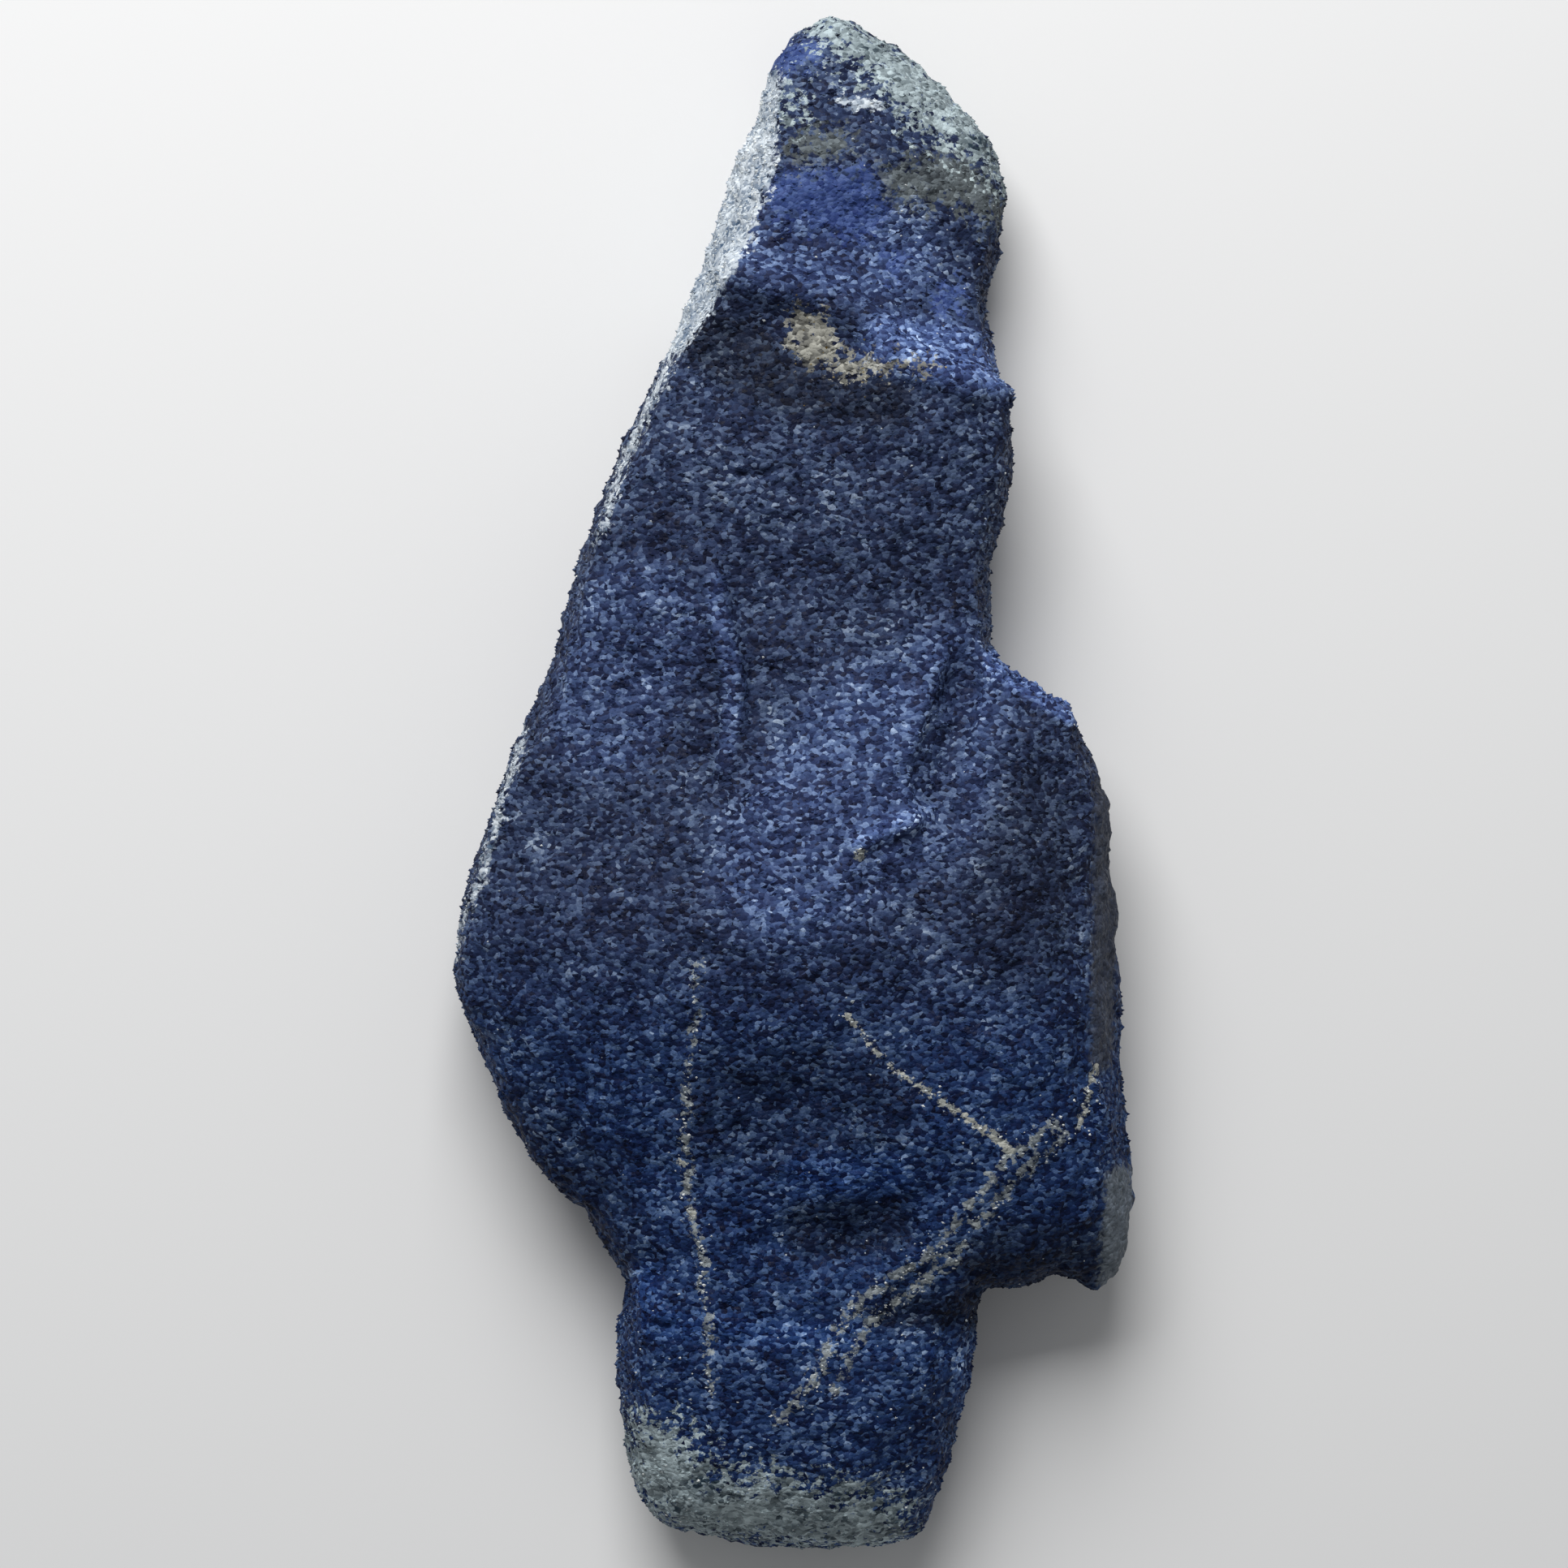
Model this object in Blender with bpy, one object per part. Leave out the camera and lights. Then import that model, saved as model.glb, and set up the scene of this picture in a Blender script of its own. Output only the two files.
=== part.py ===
"""A rough lapis lazuli: one broken block of deep blue rock, lying on its back.

Seen from above, the long way of the stone runs along Y, with its pointed tip at +Y and its
blunt foot at -Y, and its broken front face looks up along +Z. The row origin is under the
middle of the stone, on the surface it rests on.
"""

import bmesh
import bpy
from mathutils import Vector, noise
from mathutils.geometry import delaunay_2d_cdt

# Driving dimensions, in metres
STONE_LENGTH = 0.502
STONE_WIDTH = 0.221
STONE_THICKNESS = 0.080

# The drawing below is in millimetres, and is brought to the driving dimensions at the end.
# Longest facet edge, and how far the broken surface wanders from its flat facets:
LONGEST_EDGE = 11.4
CREASE_SOFTENING = 0.35
LUMP_SIZE = 30.0
LUMP_HEIGHT = 1.8
CHIP_SIZE = 11.0
CHIP_HEIGHT = 0.55
RESTING_GAP = 0.35
MERGE_DISTANCE = 0.001

# Deep blue of the fresh break, with a faint sugary shine
STONE_BLUE = (0.030, 0.048, 0.150, 1.0)
STONE_ROUGHNESS = 0.62

# The outline seen from above, clockwise from the tip, as runs of (x, y) points. Each run
# begins with its edge section, which blends into that of the next run. A section holds the
# height of the widest line, the inset and height of the front edge, and the inset and
# height of the back edge.
OUTLINE_RUNS = [
    ((24, 4, 34, 6, 14), [(15, 251), (27, 243), (45, 230), (61, 214)]),
    ((20, 5, 37, 7, 11), [(67, 205), (70, 192), (68, 175)]),
    ((24, 4, 41, 7, 9), [(65, 162)]),
    ((26, 3, 46, 6, 9), [(62, 153), (65, 140)]),
    ((30, 2.5, 58, 6, 8), [(67, 129), (70, 124), (70, 112), (71, 102)]),
    ((38, 5, 55, 12, 8), [(69, 87), (65, 70), (63, 56)]),
    ((30, 3, 57, 6, 8), [(64, 41)]),
    ((34, 5, 58, 8, 10), [(71, 34), (80, 30), (87, 27)]),
    ((40, 6, 55, 14, 12), [(94, 16), (98, 6), (103, -10), (104, -28), (106, -50)]),
    ((30, 10, 56, 12, 13), [(108, -74), (108, -92), (110, -118)]),
    ((31, 8, 50, 10, 13), [(110, -140), (109, -150)]),
    ((27, 5, 40, 8, 13), [(104, -161), (98, -166), (91, -163), (85, -160), (77, -164), (69, -165)]),
    ((28, 3, 46, 7, 10), [(62, -163), (59, -171), (59, -184), (56, -200), (51, -217)]),
    ((24, 5, 40, 7, 8), [(46, -233), (43, -243)]),
    ((20, 5.5, 32, 8, 7), [(38, -248), (25, -250), (8, -251), (-10, -250), (-27, -247), (-41, -243)]),
    ((21, 5, 34, 8, 8), [(-49, -238), (-53, -229)]),
    ((24, 6, 42, 8, 8), [(-55, -216), (-58, -200)]),
    ((26, 9, 48, 8, 8), [(-59, -185), (-57, -171)]),
    ((28, 6, 50, 7, 8), [(-55, -162), (-62, -149), (-68, -139)]),
    ((34, 4, 46, 14, 9), [(-77, -134), (-85, -122), (-92, -110), (-97, -98), (-102, -85)]),
    ((22, 3, 51, 7, 8), [(-108, -75), (-111, -62), (-108, -43), (-103, -26)]),
    ((26, 2, 57, 8, 10), [(-99, -11), (-94, 3), (-88, 15)]),
    ((30, 9, 56, 14, 8), [(-83, 28), (-76, 48), (-71, 68)]),
    ((22, 5, 52, 8, 9), [(-66, 85), (-60, 100), (-53, 116)]),
    ((24, 6, 54, 8, 9), [(-45, 134)]),
    ((24, 10, 57, 7, 9), [(-37, 151)]),
    ((24, 12, 60, 7, 9), [(-30, 168), (-25, 182)]),
    ((24, 13, 52, 7, 10), [(-20, 199), (-14, 213)]),
    ((24, 6, 45, 6, 12), [(-10, 226), (-7, 235), (-1, 242), (5, 246)]),
]

# Lines of (x, y, height) on the front along which two broken faces meet
FRONT_CREASES = {
    "upper ledge, top": [(-5, 160, 61), (8, 156, 61), (21, 150, 61), (32, 139, 63), (53, 129, 64)],
    "upper ledge, foot": [(0, 177, 54), (20, 168, 51), (40, 158, 49), (53, 153, 47)],
    "hollow under the ledge": [(-32, 133, 52), (-14, 146, 54), (0, 143, 57), (12, 133, 60)],
    "scar rim": [(-25, 65, 62), (-24, 54, 62.5), (-21, 44, 63), (-19, 31, 64), (-20, 17, 65), (-22, 5, 65)],
    "scar foot": [(-18, 64, 59.5), (-17, 53, 58.5), (-14, 43, 58.5), (-12, 30, 60), (-13, 16, 63)],
    "groove, left rim": [(47, 42, 62), (44, 28, 67), (40, 12, 70.5), (36, -1, 74), (43, -10, 74)],
    "groove, floor": [(55, 38, 58), (53, 22, 59), (50, 8, 61), (49, -4, 65), (51, -16, 69)],
    "lobe, left crest": [(61, 30, 61), (60, 12, 64), (58, -4, 67), (58, -20, 71)],
    "short ridge": [(31, -14, 77), (20, -19, 80)],
    "short ridge, foot": [(42, -19, 71), (33, -25, 73), (24, -32, 76)],
    "brow": [(-75, -52, 66), (-48, -53, 73), (-22, -50, 78), (2, -46, 80), (22, -50, 79), (44, -56, 76)],
    "brow of the lobe": [(60, -58, 74), (78, -62, 70), (91, -66, 63)],
    "knob over the scoop": [(-2, -129, 65), (10, -125, 68), (28, -120, 70), (44, -127, 68)],
    "scoop floor": [(6, -142, 57), (18, -146, 56), (31, -141, 59)],
    "shaft, left ridge": [(-47, -166, 55), (-46, -182, 54), (-48, -202, 50)],
    "lobe, lower brow": [(62, -134, 66), (80, -133, 64), (94, -132, 58)],
}

# Single (x, y, height) points between them
FRONT_POINTS = [
    (12, 238, 39), (2, 232, 42), (28, 228, 42), (0, 217, 47), (18, 214, 47), (42, 214, 43),
    (2, 196, 54), (20, 192, 53), (40, 194, 50), (57, 192, 44), (-5, 182, 56), (50, 173, 45),
    (-42, 105, 56), (-22, 112, 58), (6, 118, 62), (32, 116, 66), (54, 112, 63),
    (-50, 76, 57), (-34, 84, 60), (-4, 88, 62), (24, 84, 65), (50, 84, 61),
    (-56, 48, 58), (-42, 40, 57), (2, 58, 60), (28, 56, 62), (48, 62, 57), (4, 28, 66), (24, 22, 69),
    (-68, 14, 60), (-45, 14, 59), (-82, -16, 60), (-56, -12, 65), (-30, -16, 70), (-4, -8, 75),
    (14, 2, 73), (-94, -44, 60), (-40, -32, 72), (38, -42, 73), (50, -36, 74),
    (74, 16, 62), (85, 14, 58), (74, -12, 67), (90, -14, 59), (72, -38, 71), (90, -40, 61),
    (-84, -76, 61), (-60, -82, 67), (-34, -80, 73), (-8, -80, 75), (16, -82, 75), (40, -86, 74),
    (64, -90, 73), (82, -92, 69), (94, -96, 60), (-82, -102, 54), (-60, -106, 61), (-36, -102, 68),
    (-10, -106, 66), (14, -102, 70), (38, -106, 72), (60, -112, 71), (80, -114, 68), (94, -120, 59),
    (-68, -124, 51), (-48, -128, 58), (-26, -128, 64), (-50, -146, 54), (-24, -150, 62),
    (-2, -158, 62), (24, -158, 62), (44, -146, 65), (66, -150, 57), (84, -148, 55), (50, -160, 58),
    (-24, -176, 61), (0, -178, 62), (24, -174, 60), (44, -172, 54), (42, -186, 57), (-24, -204, 58),
    (4, -206, 59), (30, -204, 57), (46, -200, 50), (-38, -222, 49), (-14, -226, 53), (12, -226, 53),
    (34, -224, 48), (-36, -236, 42), (-14, -239, 42), (8, -241, 42), (28, -239, 41),
]

# The small flat spot it rests on, and the (x, y, height) points of the underside around it
FLAT_SPOT = [(-38, -110), (-55, -60), (-48, 0), (-25, 38), (12, 45), (35, 15), (48, -40), (46, -92), (10, -118)]
UNDERSIDE_POINTS = [
    (0, -168, 5), (-32, -196, 9), (28, -200, 8), (-4, -230, 9), (-25, -142, 4), (28, -146, 5),
    (-82, -58, 6), (-84, -92, 9), (-76, -22, 8), (-66, -116, 8), (-64, 22, 6), (-44, 66, 5),
    (80, -58, 7), (84, -112, 10), (78, -2, 8), (72, -144, 12), (60, 22, 5), (44, 62, 5),
    (4, 82, 4), (-26, 104, 7), (48, 112, 8), (12, 132, 7), (-20, 146, 9), (42, 150, 9),
    (10, 178, 9), (-6, 202, 12), (44, 190, 11), (20, 222, 14), (44, 216, 13),
]


def clear_scene():
    """Empties the scene that the script is run in."""
    for thing in list(bpy.data.objects):
        bpy.data.objects.remove(thing)


def blend(start, end, share):
    """Returns the values a share of the way from start to end."""
    return [a + (b - a) * share for a, b in zip(start, end)]


def outline_sections():
    """Returns the outline's points and the edge section at each, blended along each run."""
    points = []
    sections = []
    for number, (section, run) in enumerate(OUTLINE_RUNS):
        next_section, next_run = OUTLINE_RUNS[(number + 1) % len(OUTLINE_RUNS)]
        stops = [Vector(point) for point in run + next_run[:1]]
        walked = [0.0]
        for before, after in zip(stops, stops[1:]):
            walked.append(walked[-1] + (after - before).length)
        for point, distance in zip(stops[:-1], walked):
            points.append(point)
            sections.append(blend(section, next_section, distance / walked[-1]))
    return points, sections


def moved_inward(points, insets):
    """Moves each point of the clockwise outline inward, square to the outline there."""
    moved = []
    for number, point in enumerate(points):
        along = points[(number + 1) % len(points)] - points[number - 1]
        inward = Vector((along.y, -along.x)).normalized()
        moved.append(point + inward * insets[number])
    return moved


def add_ring(solid, points, heights):
    """Adds one closed ring of vertices, each at its own height."""
    return [solid.verts.new((point.x, point.y, height)) for point, height in zip(points, heights)]


def bridge(solid, upper, lower):
    """Joins two rings that have the same number of vertices with a wall of four-sided faces."""
    for number, corner in enumerate(upper):
        solid.faces.new((upper[number - 1], corner, lower[number], lower[number - 1]))


def is_inside(point, rim):
    """Says whether a point lies within a rim, by counting the rim's edges to its right."""
    crossings = 0
    for start, end in zip(rim, rim[1:] + rim[:1]):
        if (start.y > point.y) != (end.y > point.y):
            share = (point.y - start.y) / (end.y - start.y)
            crossings += point.x < start.x + share * (end.x - start.x)
    return crossings % 2 == 1


def cover(solid, rim, inner_lines, inner_points):
    """Closes a rim with flat triangles that meet along the inner lines and at the inner points."""
    corners = list(rim)
    creases = [(number - 1, number) for number in range(1, len(rim))] + [(len(rim) - 1, 0)]
    for line in inner_lines:
        first = len(corners)
        corners += [solid.verts.new(point) for point in line]
        creases += [(number, number + 1) for number in range(first, len(corners) - 1)]
    corners += [solid.verts.new(point) for point in inner_points]
    flat = [corner.co.xy for corner in corners]
    points, edges, triangles, sources, *others = delaunay_2d_cdt(flat, creases, [], 0, MERGE_DISTANCE, True)
    for triangle in triangles:
        middle = sum((points[index] for index in triangle), Vector((0, 0))) / 3
        if is_inside(middle, flat[:len(rim)]):
            solid.faces.new([corners[sources[index][0]] for index in triangle])


def longest_edge_of(face):
    return max(face.edges, key=lambda edge: edge.calc_length())


def is_flat_spot(face):
    return all(corner.co.z == 0.0 for corner in face.verts)


def split_long_edges(solid):
    """Halves the longest edge of each big facet until none is left, which keeps every crease.

    The flat spot keeps its few large faces, so it stays one plane.
    """
    while True:
        picked = set()
        for face in solid.faces:
            edge = longest_edge_of(face)
            if edge.calc_length() > LONGEST_EDGE and not is_flat_spot(face):
                picked.add(edge)
        if not picked:
            return
        bmesh.ops.subdivide_edges(solid, edges=list(picked), cuts=1)
        bmesh.ops.triangulate(solid, faces=[face for face in solid.faces if len(face.verts) > 3])


def roughen(solid):
    """Softens the creases a little, then lets the surface wander as broken rock does."""
    loose = [corner for corner in solid.verts if corner.co.z > 0.0]
    bmesh.ops.smooth_vert(
        solid, verts=loose, factor=CREASE_SOFTENING, use_axis_x=True, use_axis_y=True, use_axis_z=True
    )
    solid.normal_update()
    for corner in loose:
        lump = noise.fractal(corner.co / LUMP_SIZE, 1.0, 2.0, 3) * LUMP_HEIGHT
        chip = noise.noise(corner.co / CHIP_SIZE) * CHIP_HEIGHT
        corner.co += corner.normal * (lump + chip)
        corner.co.z = max(corner.co.z, RESTING_GAP)


def fit_to_size(mesh):
    """Centres the mesh over the origin and brings it to the stone's length, width and thickness."""
    corners = [vertex.co.copy() for vertex in mesh.vertices]
    low = Vector([min(corner[axis] for corner in corners) for axis in range(3)])
    high = Vector([max(corner[axis] for corner in corners) for axis in range(3)])
    size = high - low
    wanted = (STONE_WIDTH, STONE_LENGTH, STONE_THICKNESS)
    middle = (low + high) / 2
    middle.z = low.z
    for vertex in mesh.vertices:
        vertex.co = [(vertex.co[axis] - middle[axis]) * wanted[axis] / size[axis] for axis in range(3)]


def stone_material():
    """The blue of the fresh break."""
    material = bpy.data.materials.new("lapis_rock")
    material.use_nodes = True
    shader = material.node_tree.nodes["Principled BSDF"]
    shader.inputs["Base Color"].default_value = STONE_BLUE
    shader.inputs["Roughness"].default_value = STONE_ROUGHNESS
    shader.inputs["Metallic"].default_value = 0.0
    material.diffuse_color = STONE_BLUE
    return material


def build_stone():
    """Builds the stone: front, side walls and underside in one closed solid."""
    points, sections = outline_sections()
    waist_heights, front_insets, front_heights, back_insets, back_heights = zip(*sections)
    solid = bmesh.new()
    front = add_ring(solid, moved_inward(points, front_insets), front_heights)
    waist = add_ring(solid, points, waist_heights)
    back = add_ring(solid, moved_inward(points, back_insets), back_heights)
    bridge(solid, front, waist)
    bridge(solid, waist, back)
    cover(solid, front, FRONT_CREASES.values(), FRONT_POINTS)
    spot = [(x, y, 0.0) for x, y in FLAT_SPOT]
    cover(solid, back, [spot + spot[:1]], UNDERSIDE_POINTS)
    bmesh.ops.remove_doubles(solid, verts=solid.verts, dist=MERGE_DISTANCE)
    bmesh.ops.triangulate(solid, faces=solid.faces)
    split_long_edges(solid)
    roughen(solid)
    bmesh.ops.recalc_face_normals(solid, faces=solid.faces)
    mesh = bpy.data.meshes.new("lapis_stone")
    solid.to_mesh(mesh)
    solid.free()
    fit_to_size(mesh)
    mesh.materials.append(stone_material())
    mesh.shade_smooth()
    stone = bpy.data.objects.new("lapis_stone", mesh)
    bpy.context.scene.collection.objects.link(stone)
    return stone


clear_scene()
build_stone()
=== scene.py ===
# %% [markdown]
# # A rough lapis lazuli stone
# One piece of rock, half a metre long, lying on its back and seen from straight above. It is a mass of
# blue lazurite grains one to two millimetres wide, with white calcite on its broken edges, grey-green
# host rock at the tip and the foot, thin pale veins across the face and a few specks of gold-coloured
# pyrite.

import math

import bpy
import numpy as np
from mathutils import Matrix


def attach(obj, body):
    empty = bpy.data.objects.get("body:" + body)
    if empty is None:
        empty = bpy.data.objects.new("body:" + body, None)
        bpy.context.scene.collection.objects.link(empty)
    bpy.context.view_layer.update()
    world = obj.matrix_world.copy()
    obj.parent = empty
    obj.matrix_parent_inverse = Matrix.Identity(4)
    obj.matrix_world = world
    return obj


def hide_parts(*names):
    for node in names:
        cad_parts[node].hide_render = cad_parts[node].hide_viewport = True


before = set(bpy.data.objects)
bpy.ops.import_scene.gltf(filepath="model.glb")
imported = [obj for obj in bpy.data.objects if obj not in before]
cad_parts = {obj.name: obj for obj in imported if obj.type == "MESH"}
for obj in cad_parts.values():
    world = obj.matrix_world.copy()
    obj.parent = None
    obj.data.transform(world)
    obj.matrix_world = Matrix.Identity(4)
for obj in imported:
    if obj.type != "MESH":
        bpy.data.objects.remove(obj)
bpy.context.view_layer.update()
PICTURE_SIDE = 1932
SEED = 7
scene = bpy.context.scene
scene.view_settings.view_transform = "Standard"
scene.render.resolution_x = PICTURE_SIDE
scene.render.resolution_y = PICTURE_SIDE
random = np.random.default_rng(SEED)

# %% [markdown]
# ## How a place on the face is written
# The marks on the stone are irregular strips and patches. Each is written as a chain of points in
# millimetres, with the half width of the mark at each point. One distance function then serves for all
# of them: a vein, a broad patch of host rock and the groove in the surface.

# %% Distance to a chain
MM = 0.001
FAR_AWAY = 1e6
NO_LENGTH = 1e-9


def chain_distance(places, chain):
    """Millimetres from each place to the edge of the chain's strip, negative inside it."""
    best = np.full(len(places), FAR_AWAY)
    ends = chain[1:] if len(chain) > 1 else chain
    for (ax, ay, a_half), (bx, by, b_half) in zip(chain, ends):
        along = np.array([bx - ax, by - ay], float)
        length_squared = max(along @ along, NO_LENGTH)
        share = np.clip(((places - (ax, ay)) @ along) / length_squared, 0, 1)
        nearest = np.array([ax, ay]) + share[:, None] * along
        gap = np.hypot(*(places - nearest).T) - (a_half + share * (b_half - a_half))
        best = np.minimum(best, gap)
    return best


def zone_distance(places, chains):
    """The same for the nearest of several chains."""
    return np.min([chain_distance(places, chain) for chain in chains], axis=0)


def smooth(value, low, high):
    """0 below low, 1 above high, and an S-curve between them."""
    share = np.clip((value - low) / (high - low), 0, 1)
    return share * share * (3 - 2 * share)


print("from 0, 0 to a spot at 3, 4 of radius 1:", chain_distance(np.zeros((1, 2)), [(3, 4, 1)])[0], "mm")

# %% [markdown]
# ## The mass of the stone
# The rock broke out of its bed in large conchoidal and stepped faces, and the CAD solid holds those. The
# finish of the faces is finer: it is granular, like sugar. So a copy of the solid is subdivided until
# its points are about 1.5 mm apart, which leaves room for real relief and still keeps it under 200,000
# triangles.

# %% Copy and subdivide the solid
SUBDIVISIONS = 2
MERGE_GAP = 0.00001


def activate(piece):
    """Makes this the one selected object."""
    bpy.ops.object.select_all(action="DESELECT")
    piece.select_set(True)
    bpy.context.view_layer.objects.active = piece


def add_object(name, mesh):
    """A new object at the origin."""
    piece = bpy.data.objects.new(name, mesh)
    scene.collection.objects.link(piece)
    return piece


cad_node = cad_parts["lapis_stone"]
stone_mesh = cad_node.data.copy()
stone_mesh.transform(cad_node.matrix_world)
stone_mesh.materials.clear()
stone = add_object("stone", stone_mesh)
activate(stone)
bpy.ops.object.mode_set(mode="EDIT")
bpy.ops.mesh.select_all(action="SELECT")
bpy.ops.mesh.remove_doubles(threshold=MERGE_GAP)
bpy.ops.mesh.normals_make_consistent(inside=False)
bpy.ops.object.mode_set(mode="OBJECT")
bpy.ops.object.modifier_add(type="SUBSURF")
stone.modifiers[-1].levels = SUBDIVISIONS
stone.modifiers[-1].render_levels = SUBDIVISIONS
bpy.ops.object.modifier_apply(modifier=stone.modifiers[-1].name)
print("stone:", len(stone.data.vertices), "points,", len(stone.data.polygons), "faces")

# %% [markdown]
# ## Relief of the broken surface
# Four scales of roughness lie over each other: lumps of a centimetre, chips of a few millimetres, single
# grains, and pits between grains. Displace modifiers give each from a procedural texture. A vertex group
# holds them off the flat spot that the stone rests on.

# %% Roughen the faces
REST_HEIGHT = 0.004
# Name, kind of texture, size of its features and strength, both in metres
ROUGHNESS_LAYERS = (
    ("lumps", "CLOUDS", 0.014, 0.0030),
    ("chips", "CLOUDS", 0.006, 0.0022),
    ("grains", "VORONOI", 0.0030, 0.0014),
    ("pits", "CLOUDS", 0.0020, 0.0008),
)
HALF_GREY = 0.5


def point_array(mesh):
    """The points of a mesh as an array of x, y, z."""
    flat = np.empty(len(mesh.vertices) * 3, np.float32)
    mesh.vertices.foreach_get("co", flat)
    return flat.reshape(-1, 3)


free_points = stone.vertex_groups.new(name="free")
for index, height in enumerate(point_array(stone.data)[:, 2]):
    free_points.add([index], float(min(max(height / REST_HEIGHT, 0), 1)), "REPLACE")
for label, kind, size, strength in ROUGHNESS_LAYERS:
    texture = bpy.data.textures.new(label, kind)
    texture.noise_scale = size
    bpy.ops.object.modifier_add(type="DISPLACE")
    layer = stone.modifiers[-1]
    layer.texture = texture
    layer.texture_coords = "LOCAL"
    layer.strength = strength
    layer.mid_level = HALF_GREY
    layer.vertex_group = "free"
    bpy.ops.object.modifier_apply(modifier=layer.name)
print("roughness layers:", len(ROUGHNESS_LAYERS))

# %% [markdown]
# ## Cracks, steps and ridges
# A few marks are too sharp for the roughness and too particular for chance: the dark crack high on the
# face, the rim of the large chip scar, the ledges, the groove beside the lobe, and two veins that stand
# a little proud. Each is a chain, with a height and a reach beyond the chain's edge in millimetres. A
# negative height is a cut. Only the upper side has them.

# %% Listed lines
VEIN_A = [(16, -72, 0.5), (27, -86, 0.7), (34, -92, 0.7), (45, -99, 0.9), (54, -105, 1), (69, -116, 1.5)]
VEIN_B = [(97, -90, 0.8), (95, -98, 1), (93, -104, 0.8), (91, -110, 0.7)]
VEIN_C = [
    (85, -107, 1),
    (69, -118, 1.2),
    (58, -133, 1),
    (45, -149, 1),
    (19, -167, 1),
    (6, -191, 1),
    (-5, -204, 1),
]
VEIN_D = [
    (-30, -57, 0.1),
    (-31, -78, 0.2),
    (-34, -96, 0.3),
    (-34, -136, 0.7),
    (-29, -149, 0.2),
    (-26, -194, 0.3),
]
CRACK = [(-18, 99, 0.4), (-10, 99, 0.7), (-4, 101, 0.7), (2, 101, 0.3)]
SCAR_RIM = [(-25, 65, 1), (-24, 54, 1.5), (-21, 44, 1.5), (-19, 31, 1.5), (-20, 17, 1.2), (-22, 6, 0.6)]
GROOVE = [(56, 36, 2), (43, 2, 3), (45, -9, 1)]
SHORT_RIDGE = [(43, -9, 0.8), (30, -14, 1), (20, -19, 0.8)]
LEDGE_CREST = [
    (-20, 164, 1),
    (-5, 159, 1),
    (8, 156, 1),
    (21, 150, 1),
    (32, 139, 1),
    (53, 128, 1),
    (70, 124, 1),
]
LOBE_CREST = [(65, 39, 2.5), (78, 31, 3), (90, 23, 2.5)]
print("the long vein runs from", VEIN_C[0][:2], "to", VEIN_C[-1][:2])

# %% Carve and raise them
MARKS = (
    (CRACK, -1.8, 1.0),
    (SCAR_RIM, 2.2, 5.0),
    (GROOVE, -3.5, 8.0),
    (SHORT_RIDGE, 2.2, 4.5),
    (LEDGE_CREST, 3.0, 8.0),
    (LOBE_CREST, 2.5, 6.0),
    (VEIN_C, 0.5, 2.0),
    (VEIN_D, 0.5, 1.5),
)
SIDE_SLOPE = 0.1
TOP_SLOPE = 0.4

points = point_array(stone.data)
places = points[:, :2] / MM
normals = np.empty(len(points) * 3, np.float32)
stone.data.vertices.foreach_get("normal", normals)
normals = normals.reshape(-1, 3)
faces_up = smooth(normals[:, 2], SIDE_SLOPE, TOP_SLOPE)
for chain, height, reach in MARKS:
    amount = smooth(-chain_distance(places, chain), -reach, 0) * faces_up * height * MM
    points += normals * amount[:, None]
points[:, 2] = np.maximum(points[:, 2], 0)
stone.data.vertices.foreach_set("co", points.ravel())
stone.data.update()
stone.data.vertices.foreach_get("normal", normals.reshape(-1))
print("marks:", len(MARKS))

# %% [markdown]
# ## Where each mineral lies
# The colours of the stone come from different minerals, each with its own part of the face. Every zone
# is stored on the stone as a distance to its edge, because a distance stays sharp between points where a
# mask would blur.

# %% Zones of the minerals
CALCITE_EDGE = [
    (-10, 228, 6),
    (-13, 215, 8),
    (-16, 202, 11),
    (-20, 188, 10),
    (-25, 174, 10),
    (-34, 160, 11),
    (-41, 146, 8),
]
VEIN_C_SECOND = [
    (88, -112, 0.8),
    (73, -124, 1),
    (62, -137, 0.8),
    (49, -154, 0.8),
    (25, -172, 0.8),
    (12, -196, 0.6),
]
ZONES = {
    "host_rock": (
        [(12, 248, 6), (26, 238, 9), (42, 226, 11), (58, 212, 10), (69, 199, 5)],
        [(-4, 219, 5)],
        [(-45, -218, 13), (-30, -235, 14), (-5, -235, 12), (25, -240, 12)],
    ),
    "calcite": (
        CALCITE_EDGE,
        [(-39, 141, 1.2), (-46, 123, 1.4), (-56, 102, 1.3), (-62, 78, 0.7)],
        [(-87, 17, 0.8), (-99, -25, 1), (-111, -58, 0.8)],
        [(16, 220, 1.5), (27, 219, 1.2)],
    ),
    "veins": (VEIN_A, VEIN_B, [(21, -22, 1.5)], [(-35, -121, 1.8)], [(-33, -137, 1.8)]),
    "pale_band": (VEIN_C, VEIN_C_SECOND, VEIN_D),
    "olive": ([(36, 194, 7), (52, 197, 10), (64, 187, 6)], [(2, 205, 5), (14, 206, 4)]),
    "ultramarine": (
        [(0, 190, 8), (20, 187, 11)],
        [(32, 168, 4)],
        [(50, 157, 5)],
        [(-4, 235, 7), (6, 238, 5)],
    ),
    "cream": (
        [(2, 148, 4), (7, 141, 8), (14, 135, 4), (27, 133, 1.8)],
        [(34, 134, 1.5), (43, 133, 1.5)],
    ),
    "brown_skin": ([(101, 0, 4), (101, -40, 5), (99, -88, 4)],),
    "pale_skin": ([(105, -128, 5), (105, -160, 6)],),
}
places = points[:, :2] / MM
stone_values = {label: zone_distance(places, chains) for label, chains in ZONES.items()}
print("points inside each zone:", {label: int((gap < 0).sum()) for label, gap in stone_values.items()})
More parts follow.
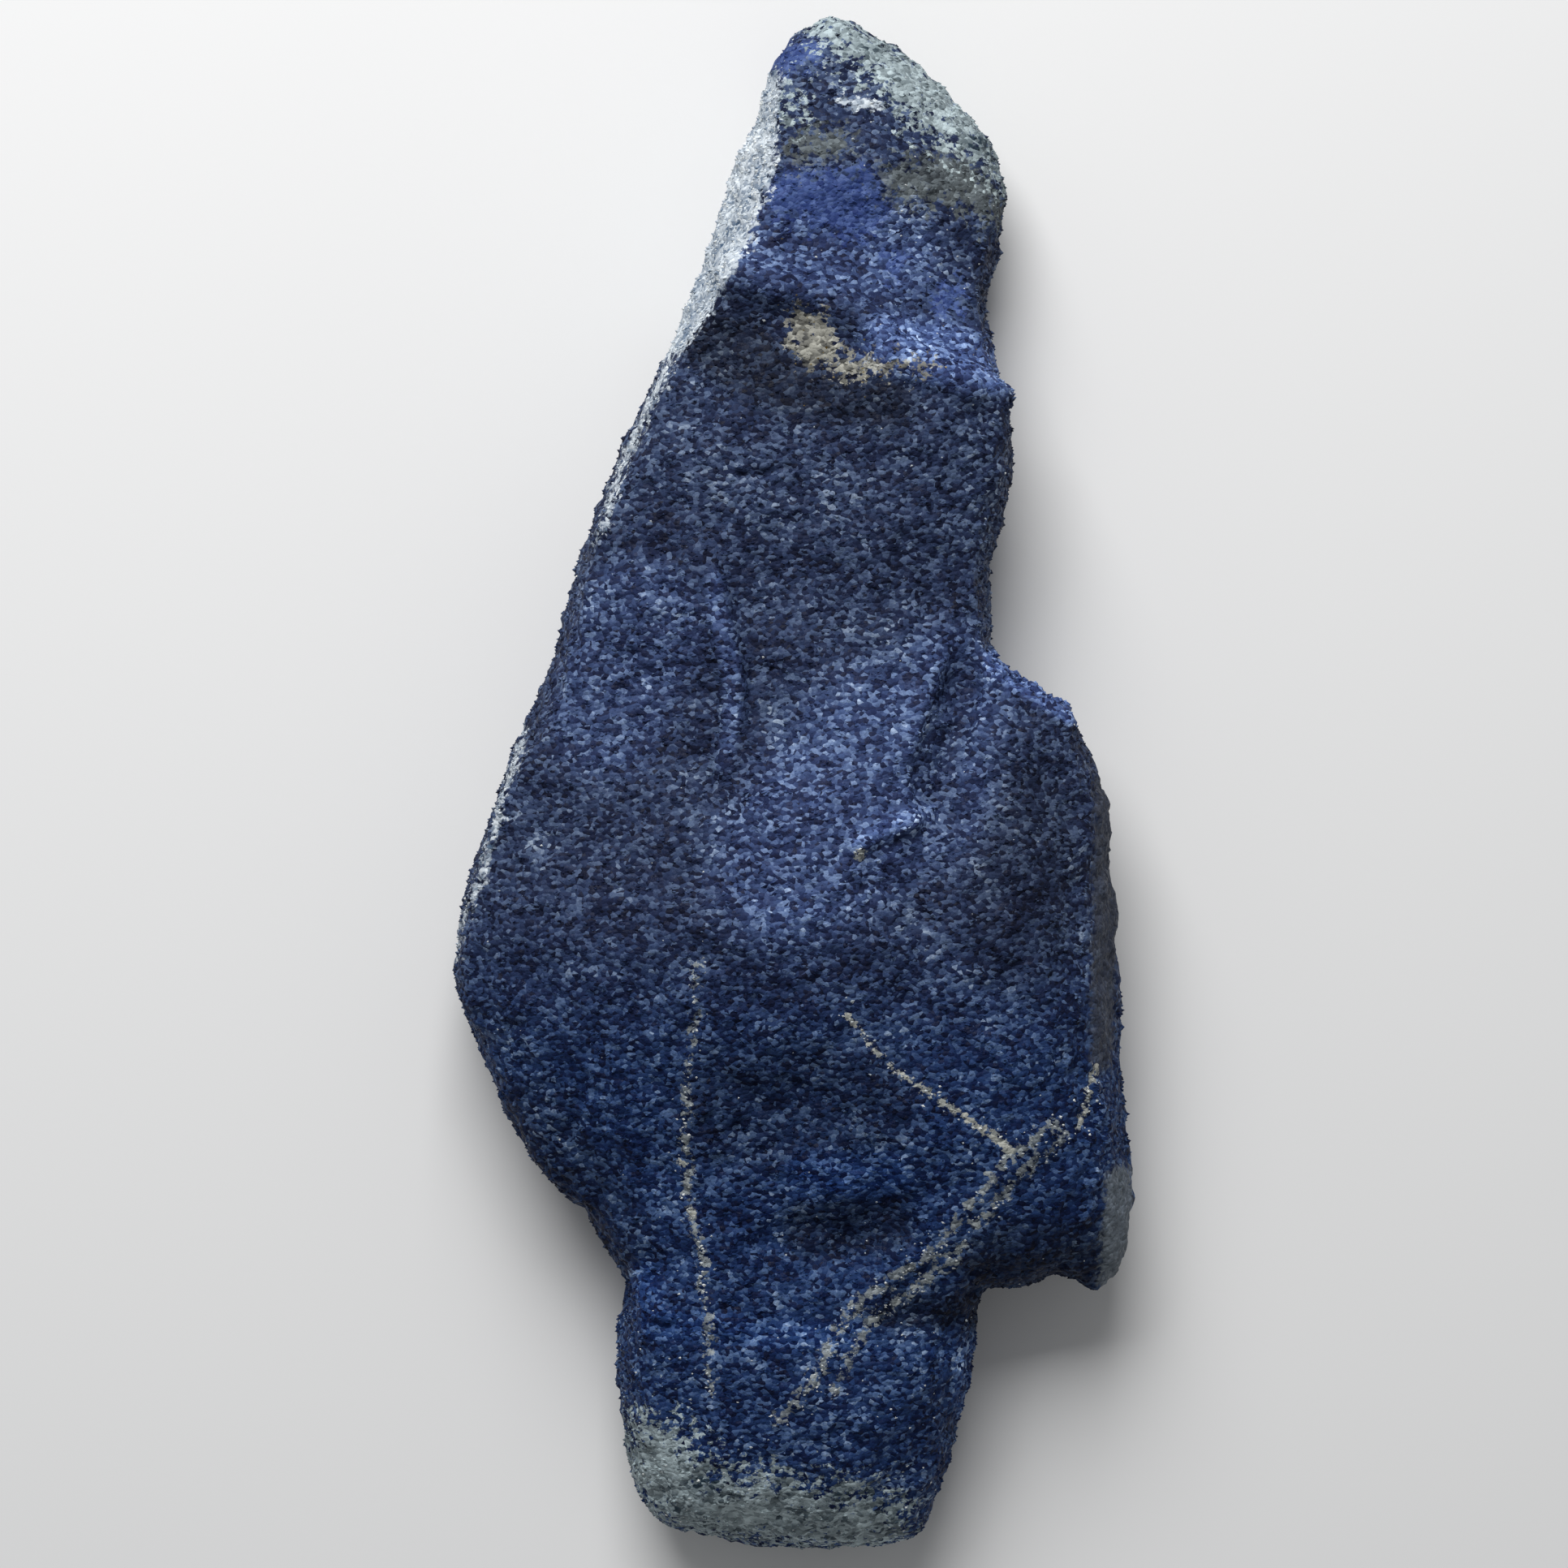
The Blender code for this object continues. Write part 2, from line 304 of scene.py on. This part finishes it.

# %% [markdown]
# ## Painted light and shade on the blue
# The blue is painted navy, as painted shade, in the hollows, in the groove and under the ledges, and
# painted lighter, as painted light, on the ledge faces, crests and rims that face the lamp. So a value of
# painted light and shade is 1 on the plain face and changes near some chains, each with its change and
# the millimetres over which it fades. A second value, dust, is 0 at the foot and 1 on the upper part,
# where a thin dust greys and darkens the blue a little.

# %% Painted light and shade, and dust
# Painted light and shade: change of the blue's lightness, fade in mm, chain. Positive rows are painted
# light on faces towards the lamp, negative rows are painted shade in hollows and under ledges.
PAINTED_LIGHT_AND_SHADE_ROWS = (
    (1.90, 8, [(30, 141, 5), (48, 138, 7), (66, 133, 4)]),
    (1.00, 22, [(0, -25, 14), (30, 5, 22), (50, 30, 8)]),
    (0.65, 12, [(-50, 50, 16), (-60, 20, 12)]),
    (0.90, 14, [(-5, 172, 8), (30, 170, 10)]),
    (3.00, 3, LOBE_CREST),
    (1.10, 3, SHORT_RIDGE),
    (0.90, 3, SCAR_RIM),
    (0.60, 6, [(5, -124, 4), (30, -124, 4)]),
    (0.50, 4, [(-48, -158, 3), (-45, -173, 3), (56, -180, 2), (56, -204, 2)]),
    (-0.55, 10, [(-30, 145, 4), (-18, 138, 7), (0, 126, 4), (30, 122, 4)]),
    (-0.55, 8, [(5, -143, 5), (30, -141, 5)]),
    (-0.65, 7, [(54, 34, 3), (46, 5, 5), (47, -8, 4)]),
    (-0.55, 10, [(66, -153, 8), (98, -153, 7)]),
    (-0.35, 12, [(-84, -108, 8), (-62, -145, 10)]),
    (-0.60, 8, [(34, -172, 6), (56, -172, 5)]),
    (-0.40, 16, [(-20, -105, 10), (20, -103, 12)]),
    (-0.30, 14, [(72, -50, 10), (76, -10, 8)]),
)
DARKEST_PAINTED_SHADE = 0.35
LIGHTEST_PAINTED_LIGHT = 3.2
DUST_STARTS = -120
DUST_IS_FULL = -10

painted_light_and_shade = np.ones(len(points))
for change, fade, chain in PAINTED_LIGHT_AND_SHADE_ROWS:
    painted_light_and_shade += change * smooth(-chain_distance(places, chain), -fade, 0)
stone_values["painted_light_and_shade"] = np.clip(painted_light_and_shade, DARKEST_PAINTED_SHADE, LIGHTEST_PAINTED_LIGHT)
stone_values["dust"] = smooth(places[:, 1], DUST_STARTS, DUST_IS_FULL)


def store_values(mesh, values):
    """Writes each named array as one number for each point of the mesh."""
    for label, numbers in values.items():
        layer = mesh.attributes.new(label, "FLOAT", "POINT")
        layer.data.foreach_set("value", np.asarray(numbers, np.float32))


store_values(stone.data, stone_values)
activate(stone)
bpy.ops.object.shade_smooth()
print("tone from", round(float(painted_light_and_shade.min()), 2), "to", round(float(painted_light_and_shade.max()), 2))

# %% [markdown]
# ## The rock's finish
# Every grain has its own blue, so the colour comes from cells of grain size, a little longer across the
# stone than along it, as the grains are. Broader noise lets whole areas drift lighter or darker. The
# other minerals are laid over the blue, zone by zone, with an edge that noise breaks up into grains. The
# shine is low and uneven: some grain faces shine a little and the rest is dull. A few helpers keep the
# node code short.

# %% Shader helpers
OPAQUE = 1


def add_node(tree, kind, inputs=None, **settings):
    """A node with its settings and its inputs, each a number, a colour or another node's output."""
    made = tree.nodes.new(kind)
    for label, value in settings.items():
        setattr(made, label, value)
    for label, value in (inputs or {}).items():
        if isinstance(value, bpy.types.NodeSocket):
            tree.links.new(value, made.inputs[label])
        else:
            made.inputs[label].default_value = value
    return made


def new_material(name):
    """(material, its node tree, its shader) for a material of that name."""
    material = bpy.data.materials.new(name)
    material.use_nodes = True
    return material, material.node_tree, material.node_tree.nodes["Principled BSDF"]


def calculate(tree, operation, first, second):
    """The result of one sum on two numbers."""
    return add_node(tree, "ShaderNodeMath", {0: first, 1: second}, operation=operation).outputs[0]


def add_share(tree, total, pattern, share):
    """The total plus that share of the pattern."""
    return calculate(tree, "ADD", total, calculate(tree, "MULTIPLY", pattern, share))


def mix_colors(tree, share, under, over, blend_type="MIX"):
    """Two colours mixed by share."""
    inputs = {0: share, 6: under, 7: over}
    return add_node(tree, "ShaderNodeMix", inputs, data_type="RGBA", blend_type=blend_type).outputs[2]


def map_range(tree, value, low, high, to_low, to_high):
    """The value taken smoothly from one range to another."""
    inputs = {0: value, 1: low, 2: high, 3: to_low, 4: to_high}
    return add_node(tree, "ShaderNodeMapRange", inputs, interpolation_type="SMOOTHSTEP").outputs[0]


def stored_value(tree, label):
    """A value that was stored on the piece's points."""
    return add_node(tree, "ShaderNodeAttribute", attribute_name=label).outputs["Fac"]


def ramp(tree, share, stops):
    """A colour ramp with these (place, colour) stops."""
    made = add_node(tree, "ShaderNodeValToRGB", {0: share})
    while len(made.color_ramp.elements) < len(stops):
        made.color_ramp.elements.new(0.5)
    for element, (place, color) in zip(made.color_ramp.elements, stops):
        element.position = place
        element.color = (*color, OPAQUE)
    return made.outputs[0]


def noise_value(tree, vector, scale, detail, roughness):
    """Noise of that many features in a metre."""
    inputs = {"Vector": vector, "Scale": scale, "Detail": detail, "Roughness": roughness}
    return add_node(tree, "ShaderNodeTexNoise", inputs).outputs[0]


def cells(tree, vector, scale):
    """(distance to the cell's middle, one random number, another) for cells of that many in a metre."""
    made = add_node(tree, "ShaderNodeTexVoronoi", {"Vector": vector, "Scale": scale})
    parts = add_node(tree, "ShaderNodeSeparateColor", {0: made.outputs["Color"]})
    return made.outputs["Distance"], parts.outputs[0], parts.outputs[1]


print("shader helpers are ready")

# %% The blue of the grains
BLUE_STOPS = (
    (0.00, (0.002, 0.004, 0.020)),
    (0.28, (0.006, 0.014, 0.056)),
    (0.56, (0.022, 0.045, 0.125)),
    (0.80, (0.085, 0.135, 0.255)),
    (1.00, (0.340, 0.430, 0.570)),
)
GRAIN_SHARE = 0.75
PATCH_SHARE = 0.70
FINE_SHARE = 0.35
CLOUD_SHARE = 0.25
LEVEL_DROP = 0.59
CLEAN_SATURATION = 1.08
DUSTY_SATURATION = 0.9
DUSTY_VALUE = 0.84


def blue_color(tree, chance, patches, fine, clouds):
    """The lazurite's colour: one blue for each grain, with the painted light and shade and the dust of
    its place.
    """
    level = calculate(tree, "MULTIPLY", chance, GRAIN_SHARE)
    level = add_share(tree, level, patches, PATCH_SHARE)
    level = add_share(tree, level, fine, FINE_SHARE)
    level = add_share(tree, level, clouds, CLOUD_SHARE)
    level = calculate(tree, "SUBTRACT", level, LEVEL_DROP)
    color = ramp(tree, level, BLUE_STOPS)
    # Painted light and shade: the blue is multiplied by the stored value, lighter on lit faces and darker
    # in shaded hollows.
    painted_shading_value = stored_value(tree, "painted_light_and_shade")
    painted_shading_inputs = {0: painted_shading_value, 1: painted_shading_value, 2: painted_shading_value}
    painted_shading_color = add_node(tree, "ShaderNodeCombineColor", painted_shading_inputs).outputs[0]
    color = mix_colors(tree, 1.0, color, painted_shading_color, "MULTIPLY")
    dust = stored_value(tree, "dust")
    dusting = {
        "Color": color,
        "Saturation": map_range(tree, dust, 0, 1, CLEAN_SATURATION, DUSTY_SATURATION),
        "Value": map_range(tree, dust, 0, 1, 1, DUSTY_VALUE),
    }
    return add_node(tree, "ShaderNodeHueSaturation", dusting).outputs[0]


print("blue stops:", len(BLUE_STOPS))

# %% The minerals over the blue
# Zone, width of its soft edge and how far the edge wanders in mm, darkest and lightest colour, cover
ZONE_COLORS = (
    ("ultramarine", 4.0, 12, (0.012, 0.030, 0.150), (0.075, 0.125, 0.330), 0.75),
    ("olive", 4.0, 14, (0.010, 0.014, 0.020), (0.170, 0.195, 0.190), 0.8),
    ("cream", 1.5, 9, (0.012, 0.014, 0.018), (0.520, 0.510, 0.430), 0.85),
    ("host_rock", 4.0, 22, (0.020, 0.038, 0.055), (0.520, 0.620, 0.640), 0.9),
    ("brown_skin", 2.5, 3, (0.030, 0.036, 0.055), (0.060, 0.068, 0.090), 0.8),
    ("pale_skin", 2.5, 3, (0.080, 0.100, 0.120), (0.200, 0.230, 0.260), 0.85),
    ("pale_band", 1.2, 5.5, (0.050, 0.070, 0.100), (0.420, 0.450, 0.420), 0.75),
    ("veins", 0.6, 2.6, (0.120, 0.140, 0.150), (0.620, 0.620, 0.540), 0.9),
    ("calcite", 2.0, 5, (0.060, 0.110, 0.190), (0.800, 0.860, 0.900), 0.95),
)
NOISE_WANDER = 2.5
GRAIN_WANDER = 0.5
MOTTLE_GRAIN_SHARE = 0.7
MOTTLE_PATCH_SHARE = 1.6
MOTTLE_DROP = 0.65


def with_minerals(tree, color, chance, second_chance, patches, breakup):
    """The colour with every zone's mineral laid over it."""
    shuffle = calculate(tree, "SUBTRACT", breakup, 0.5)
    jitter = calculate(tree, "SUBTRACT", second_chance, 0.5)
    mottle = calculate(tree, "MULTIPLY", chance, MOTTLE_GRAIN_SHARE)
    mottle = add_share(tree, mottle, patches, MOTTLE_PATCH_SHARE)
    mottle = calculate(tree, "SUBTRACT", mottle, MOTTLE_DROP)
    for label, edge, wander, dark, light, cover in ZONE_COLORS:
        moved = add_share(tree, stored_value(tree, label), shuffle, wander * NOISE_WANDER)
        moved = add_share(tree, moved, jitter, wander * GRAIN_WANDER)
        mask = map_range(tree, moved, edge / 2, -edge / 2, 0, cover)
        mineral = mix_colors(tree, mottle, (*dark, OPAQUE), (*light, OPAQUE))
        color = mix_colors(tree, mask, color, mineral)
    return color


print("minerals:", [row[0] for row in ZONE_COLORS])

# %% The whole finish
GRAINS_PER_METRE = 780
GRAIN_STRETCH = (0.72, 1, 1)
SHINIEST = 0.5
DULLEST = 0.85
SHINE = 0.15
BUMP_FINE_SHARE = 0.8
BUMP_GRAIN_SHARE = 0.7
BUMP_STRENGTH = 0.9
BUMP_HEIGHT = 0.0006


def rock_material():
    """Blue lazurite grains, with the other minerals over them."""
    material, tree, shader = new_material("lapis_rock")
    place = add_node(tree, "ShaderNodeTexCoord").outputs["Object"]
    stretch = {"Vector": place, "Scale": GRAIN_STRETCH}
    grain_place = add_node(tree, "ShaderNodeMapping", stretch).outputs[0]
    depth, chance, second_chance = cells(tree, grain_place, GRAINS_PER_METRE)
    fine = noise_value(tree, place, scale=900, detail=3, roughness=0.6)
    patches = noise_value(tree, place, scale=55, detail=5, roughness=0.65)
    clouds = noise_value(tree, place, scale=16, detail=3, roughness=0.6)
    breakup = noise_value(tree, place, scale=260, detail=4, roughness=0.7)

    color = blue_color(tree, chance, patches, fine, clouds)
    color = with_minerals(tree, color, chance, second_chance, patches, breakup)
    tree.links.new(color, shader.inputs["Base Color"])
    tree.links.new(map_range(tree, second_chance, 0, 1, SHINIEST, DULLEST), shader.inputs["Roughness"])
    shader.inputs["Specular IOR Level"].default_value = SHINE

    height = calculate(tree, "MULTIPLY", fine, BUMP_FINE_SHARE)
    height = calculate(tree, "SUBTRACT", height, calculate(tree, "MULTIPLY", depth, BUMP_GRAIN_SHARE))
    bumps = {"Height": height, "Strength": BUMP_STRENGTH, "Distance": BUMP_HEIGHT}
    tree.links.new(add_node(tree, "ShaderNodeBump", bumps).outputs[0], shader.inputs["Normal"])
    return material


ROCK = rock_material()
stone.data.materials.append(ROCK)
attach(stone, "root")
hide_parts("lapis_stone")
print("rock material:", len(ROCK.node_tree.nodes), "nodes")

# %% [markdown]
# ## Grains that stand out
# On the broken faces single grains stand out of the rock, half sunk, with flat faces that catch the
# light. They are eight-sided crystals set on points of the surface, all of one kind in one mesh. Each
# carries the values of the place where it stands, so that the rock's own finish, with its painted light
# and shade, colours the blue ones too. The smooth skin on the right-hand edge has none.

# %% Set blue grains on the surface
CRYSTAL = np.array([(1, 0, 0), (-1, 0, 0), (0, 1, 0), (0, -1, 0), (0, 0, 1), (0, 0, -1)], float)
CRYSTAL_FACES = np.array(
    [(0, 2, 4), (2, 1, 4), (1, 3, 4), (3, 0, 4), (2, 0, 5), (1, 2, 5), (3, 1, 5), (0, 3, 5)]
)
CRYSTAL_CORNERS = len(CRYSTAL)
CRYSTAL_SHAPE = np.array([1.3, 0.95, 0.95])
CORNER_SPREAD = (0.7, 1.15)
MOST_TURN = 0.5
UNDERSIDE_SLOPE = -0.5
SKIN_MARGIN = 2
BLUE_GRAINS = 17000
BLUE_SUNK = 0.35


def set_grains(name, chosen, smallest, largest, sunk, material):
    """A mesh of crystals at the chosen points of the stone, each turned at random."""
    count = len(chosen)
    size = random.uniform(smallest, largest, count) * MM
    turn = random.uniform(-MOST_TURN, MOST_TURN, count)
    shape = CRYSTAL[None] * random.uniform(*CORNER_SPREAD, (count, CRYSTAL_CORNERS, 1))
    shape = shape * size[:, None, None] * CRYSTAL_SHAPE
    cosine = np.cos(turn)[:, None]
    sine = np.sin(turn)[:, None]
    turned_x = shape[..., 0] * cosine - shape[..., 1] * sine
    turned_y = shape[..., 0] * sine + shape[..., 1] * cosine
    turned = np.stack([turned_x, turned_y, shape[..., 2]], axis=-1)
    middle = points[chosen] - normals[chosen] * (size * sunk)[:, None]
    corners = (turned + middle[:, None]).reshape(-1, 3)
    first_corners = np.arange(count) * CRYSTAL_CORNERS
    faces = (CRYSTAL_FACES[None] + first_corners[:, None, None]).reshape(-1, 3)
    mesh = bpy.data.meshes.new(name)
    mesh.from_pydata(corners.tolist(), [], faces.tolist())
    grain_values = {
        label: np.repeat(values[chosen], CRYSTAL_CORNERS) for label, values in stone_values.items()
    }
    store_values(mesh, grain_values)
    mesh.materials.append(material)
    piece = add_object(name, mesh)
    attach(piece, "root")
    print(name, count, "grains")


standing = np.flatnonzero((points[:, 2] > REST_HEIGHT) & (normals[:, 2] > UNDERSIDE_SLOPE))
skin_distance = np.minimum(stone_values["brown_skin"], stone_values["pale_skin"])
standing = standing[skin_distance[standing] >= SKIN_MARGIN]
blue_points = random.choice(standing, BLUE_GRAINS, replace=False)
set_grains("blue_grains", blue_points, 0.4, 1.1, BLUE_SUNK, ROCK)

# %% [markdown]
# ## Calcite and pyrite crystals
# Small white calcite grains gather along the veins and on the pale edge, and thin out away from them. A
# few more are spread over the host rock and the face near it. Pyrite is rare here: gold-coloured specks
# around the cream patch.

# %% Calcite and pyrite
MINERAL_CELLS_PER_METRE = 400
CRYSTAL_SUNK = 0.3
CALCITE_HANDICAP = 3


def mineral_material(name, dark, light, metallic, roughness):
    """A grain colour that changes from one grain to the next."""
    material, tree, shader = new_material(name)
    place = add_node(tree, "ShaderNodeTexCoord").outputs["Object"]
    chance = cells(tree, place, MINERAL_CELLS_PER_METRE)[1]
    color = mix_colors(tree, chance, (*dark, OPAQUE), (*light, OPAQUE))
    tree.links.new(color, shader.inputs["Base Color"])
    shader.inputs["Metallic"].default_value = metallic
    shader.inputs["Roughness"].default_value = roughness
    return material


def scatter_near(distance, reach, count):
    """Points of the stone picked at random, more of them where the distance is short."""
    weight = np.exp(-np.maximum(distance[standing], 0) / reach)
    return random.choice(standing, count, replace=False, p=weight / weight.sum())


CALCITE_GRAIN = mineral_material("calcite_grain", (0.33, 0.38, 0.42), (0.74, 0.76, 0.74), 0.0, 0.45)
PYRITE_GRAIN = mineral_material("pyrite_grain", (0.30, 0.20, 0.07), (0.72, 0.56, 0.26), 0.9, 0.3)
vein_distance = np.minimum(stone_values["veins"], stone_values["pale_band"])
pale_distance = np.minimum(vein_distance, stone_values["calcite"] + CALCITE_HANDICAP)
calcite_points = scatter_near(pale_distance, reach=1.2, count=900)
set_grains("calcite_grains", calcite_points, 0.3, 0.75, CRYSTAL_SUNK, CALCITE_GRAIN)
stray_points = scatter_near(stone_values["host_rock"], reach=60, count=500)
set_grains("stray_calcite", stray_points, 0.2, 0.6, CRYSTAL_SUNK, CALCITE_GRAIN)
pyrite_points = scatter_near(stone_values["cream"], reach=4, count=60)
set_grains("pyrite_specks", pyrite_points, 0.25, 0.6, CRYSTAL_SUNK, PYRITE_GRAIN)

# %% [markdown]
# ## Floor, light and camera
# The stone lies on a plain pale floor. A broad soft lamp stands behind its tip, so that each grain is
# lit on the side towards the tip, and an even pale surround fills the shadows. The camera looks straight
# down.

# %% Floor
FLOOR_SIDE = 8
FLOOR_GREY = 0.80
bpy.ops.mesh.primitive_plane_add(size=FLOOR_SIDE, location=(0, 0, 0))
floor = bpy.context.object
floor.name = "floor"
floor_material, floor_tree, floor_shader = new_material("floor")
floor_shader.inputs["Base Color"].default_value = (FLOOR_GREY, FLOOR_GREY, FLOOR_GREY, OPAQUE)
floor_shader.inputs["Roughness"].default_value = 0.9
floor_shader.inputs["Specular IOR Level"].default_value = 0.1
floor.data.materials.append(floor_material)
print("floor side in metres:", FLOOR_SIDE)

# %% Light
LAMP_DISTANCE = 2.0
LAMP_HEIGHT_ANGLE = math.radians(44)
LAMP_TURN = math.radians(12)
LAMP_POWER = 46
LAMP_SIZE = 1.3
SURROUND_COLOR = (0.97, 0.985, 1)
SURROUND_STRENGTH = 0.24
world = bpy.data.worlds.new("surround")
world.use_nodes = True
background = world.node_tree.nodes["Background"]
background.inputs["Color"].default_value = (*SURROUND_COLOR, OPAQUE)
background.inputs["Strength"].default_value = SURROUND_STRENGTH
scene.world = world
level_distance = LAMP_DISTANCE * math.cos(LAMP_HEIGHT_ANGLE)
lamp_place = (
    -level_distance * math.sin(LAMP_TURN),
    level_distance * math.cos(LAMP_TURN),
    LAMP_DISTANCE * math.sin(LAMP_HEIGHT_ANGLE),
)
lamp_data = bpy.data.lights.new("key", "AREA")
lamp_data.energy = LAMP_POWER
lamp_data.size = LAMP_SIZE
lamp = bpy.data.objects.new("key", lamp_data)
lamp.location = lamp_place
lamp.rotation_euler = (-(math.pi / 2 - LAMP_HEIGHT_ANGLE), 0, LAMP_TURN)
scene.collection.objects.link(lamp)
print("lamp at", [round(value, 2) for value in lamp_place])

# %% Camera
FRAME_WIDTH = 0.5103
FRAME_MIDDLE_X = -0.0029
OUTLINE_HEIGHT = 0.03
LENS = 120
SENSOR_WIDTH = 36
camera_data = bpy.data.cameras.new("camera")
camera_data.lens = LENS
camera_data.sensor_width = SENSOR_WIDTH
camera = bpy.data.objects.new("camera", camera_data)
camera_rise = FRAME_WIDTH * LENS / SENSOR_WIDTH
camera.location = (FRAME_MIDDLE_X, 0, OUTLINE_HEIGHT + camera_rise)
scene.collection.objects.link(camera)
scene.camera = camera
print("camera height in metres:", round(camera.location.z, 3))
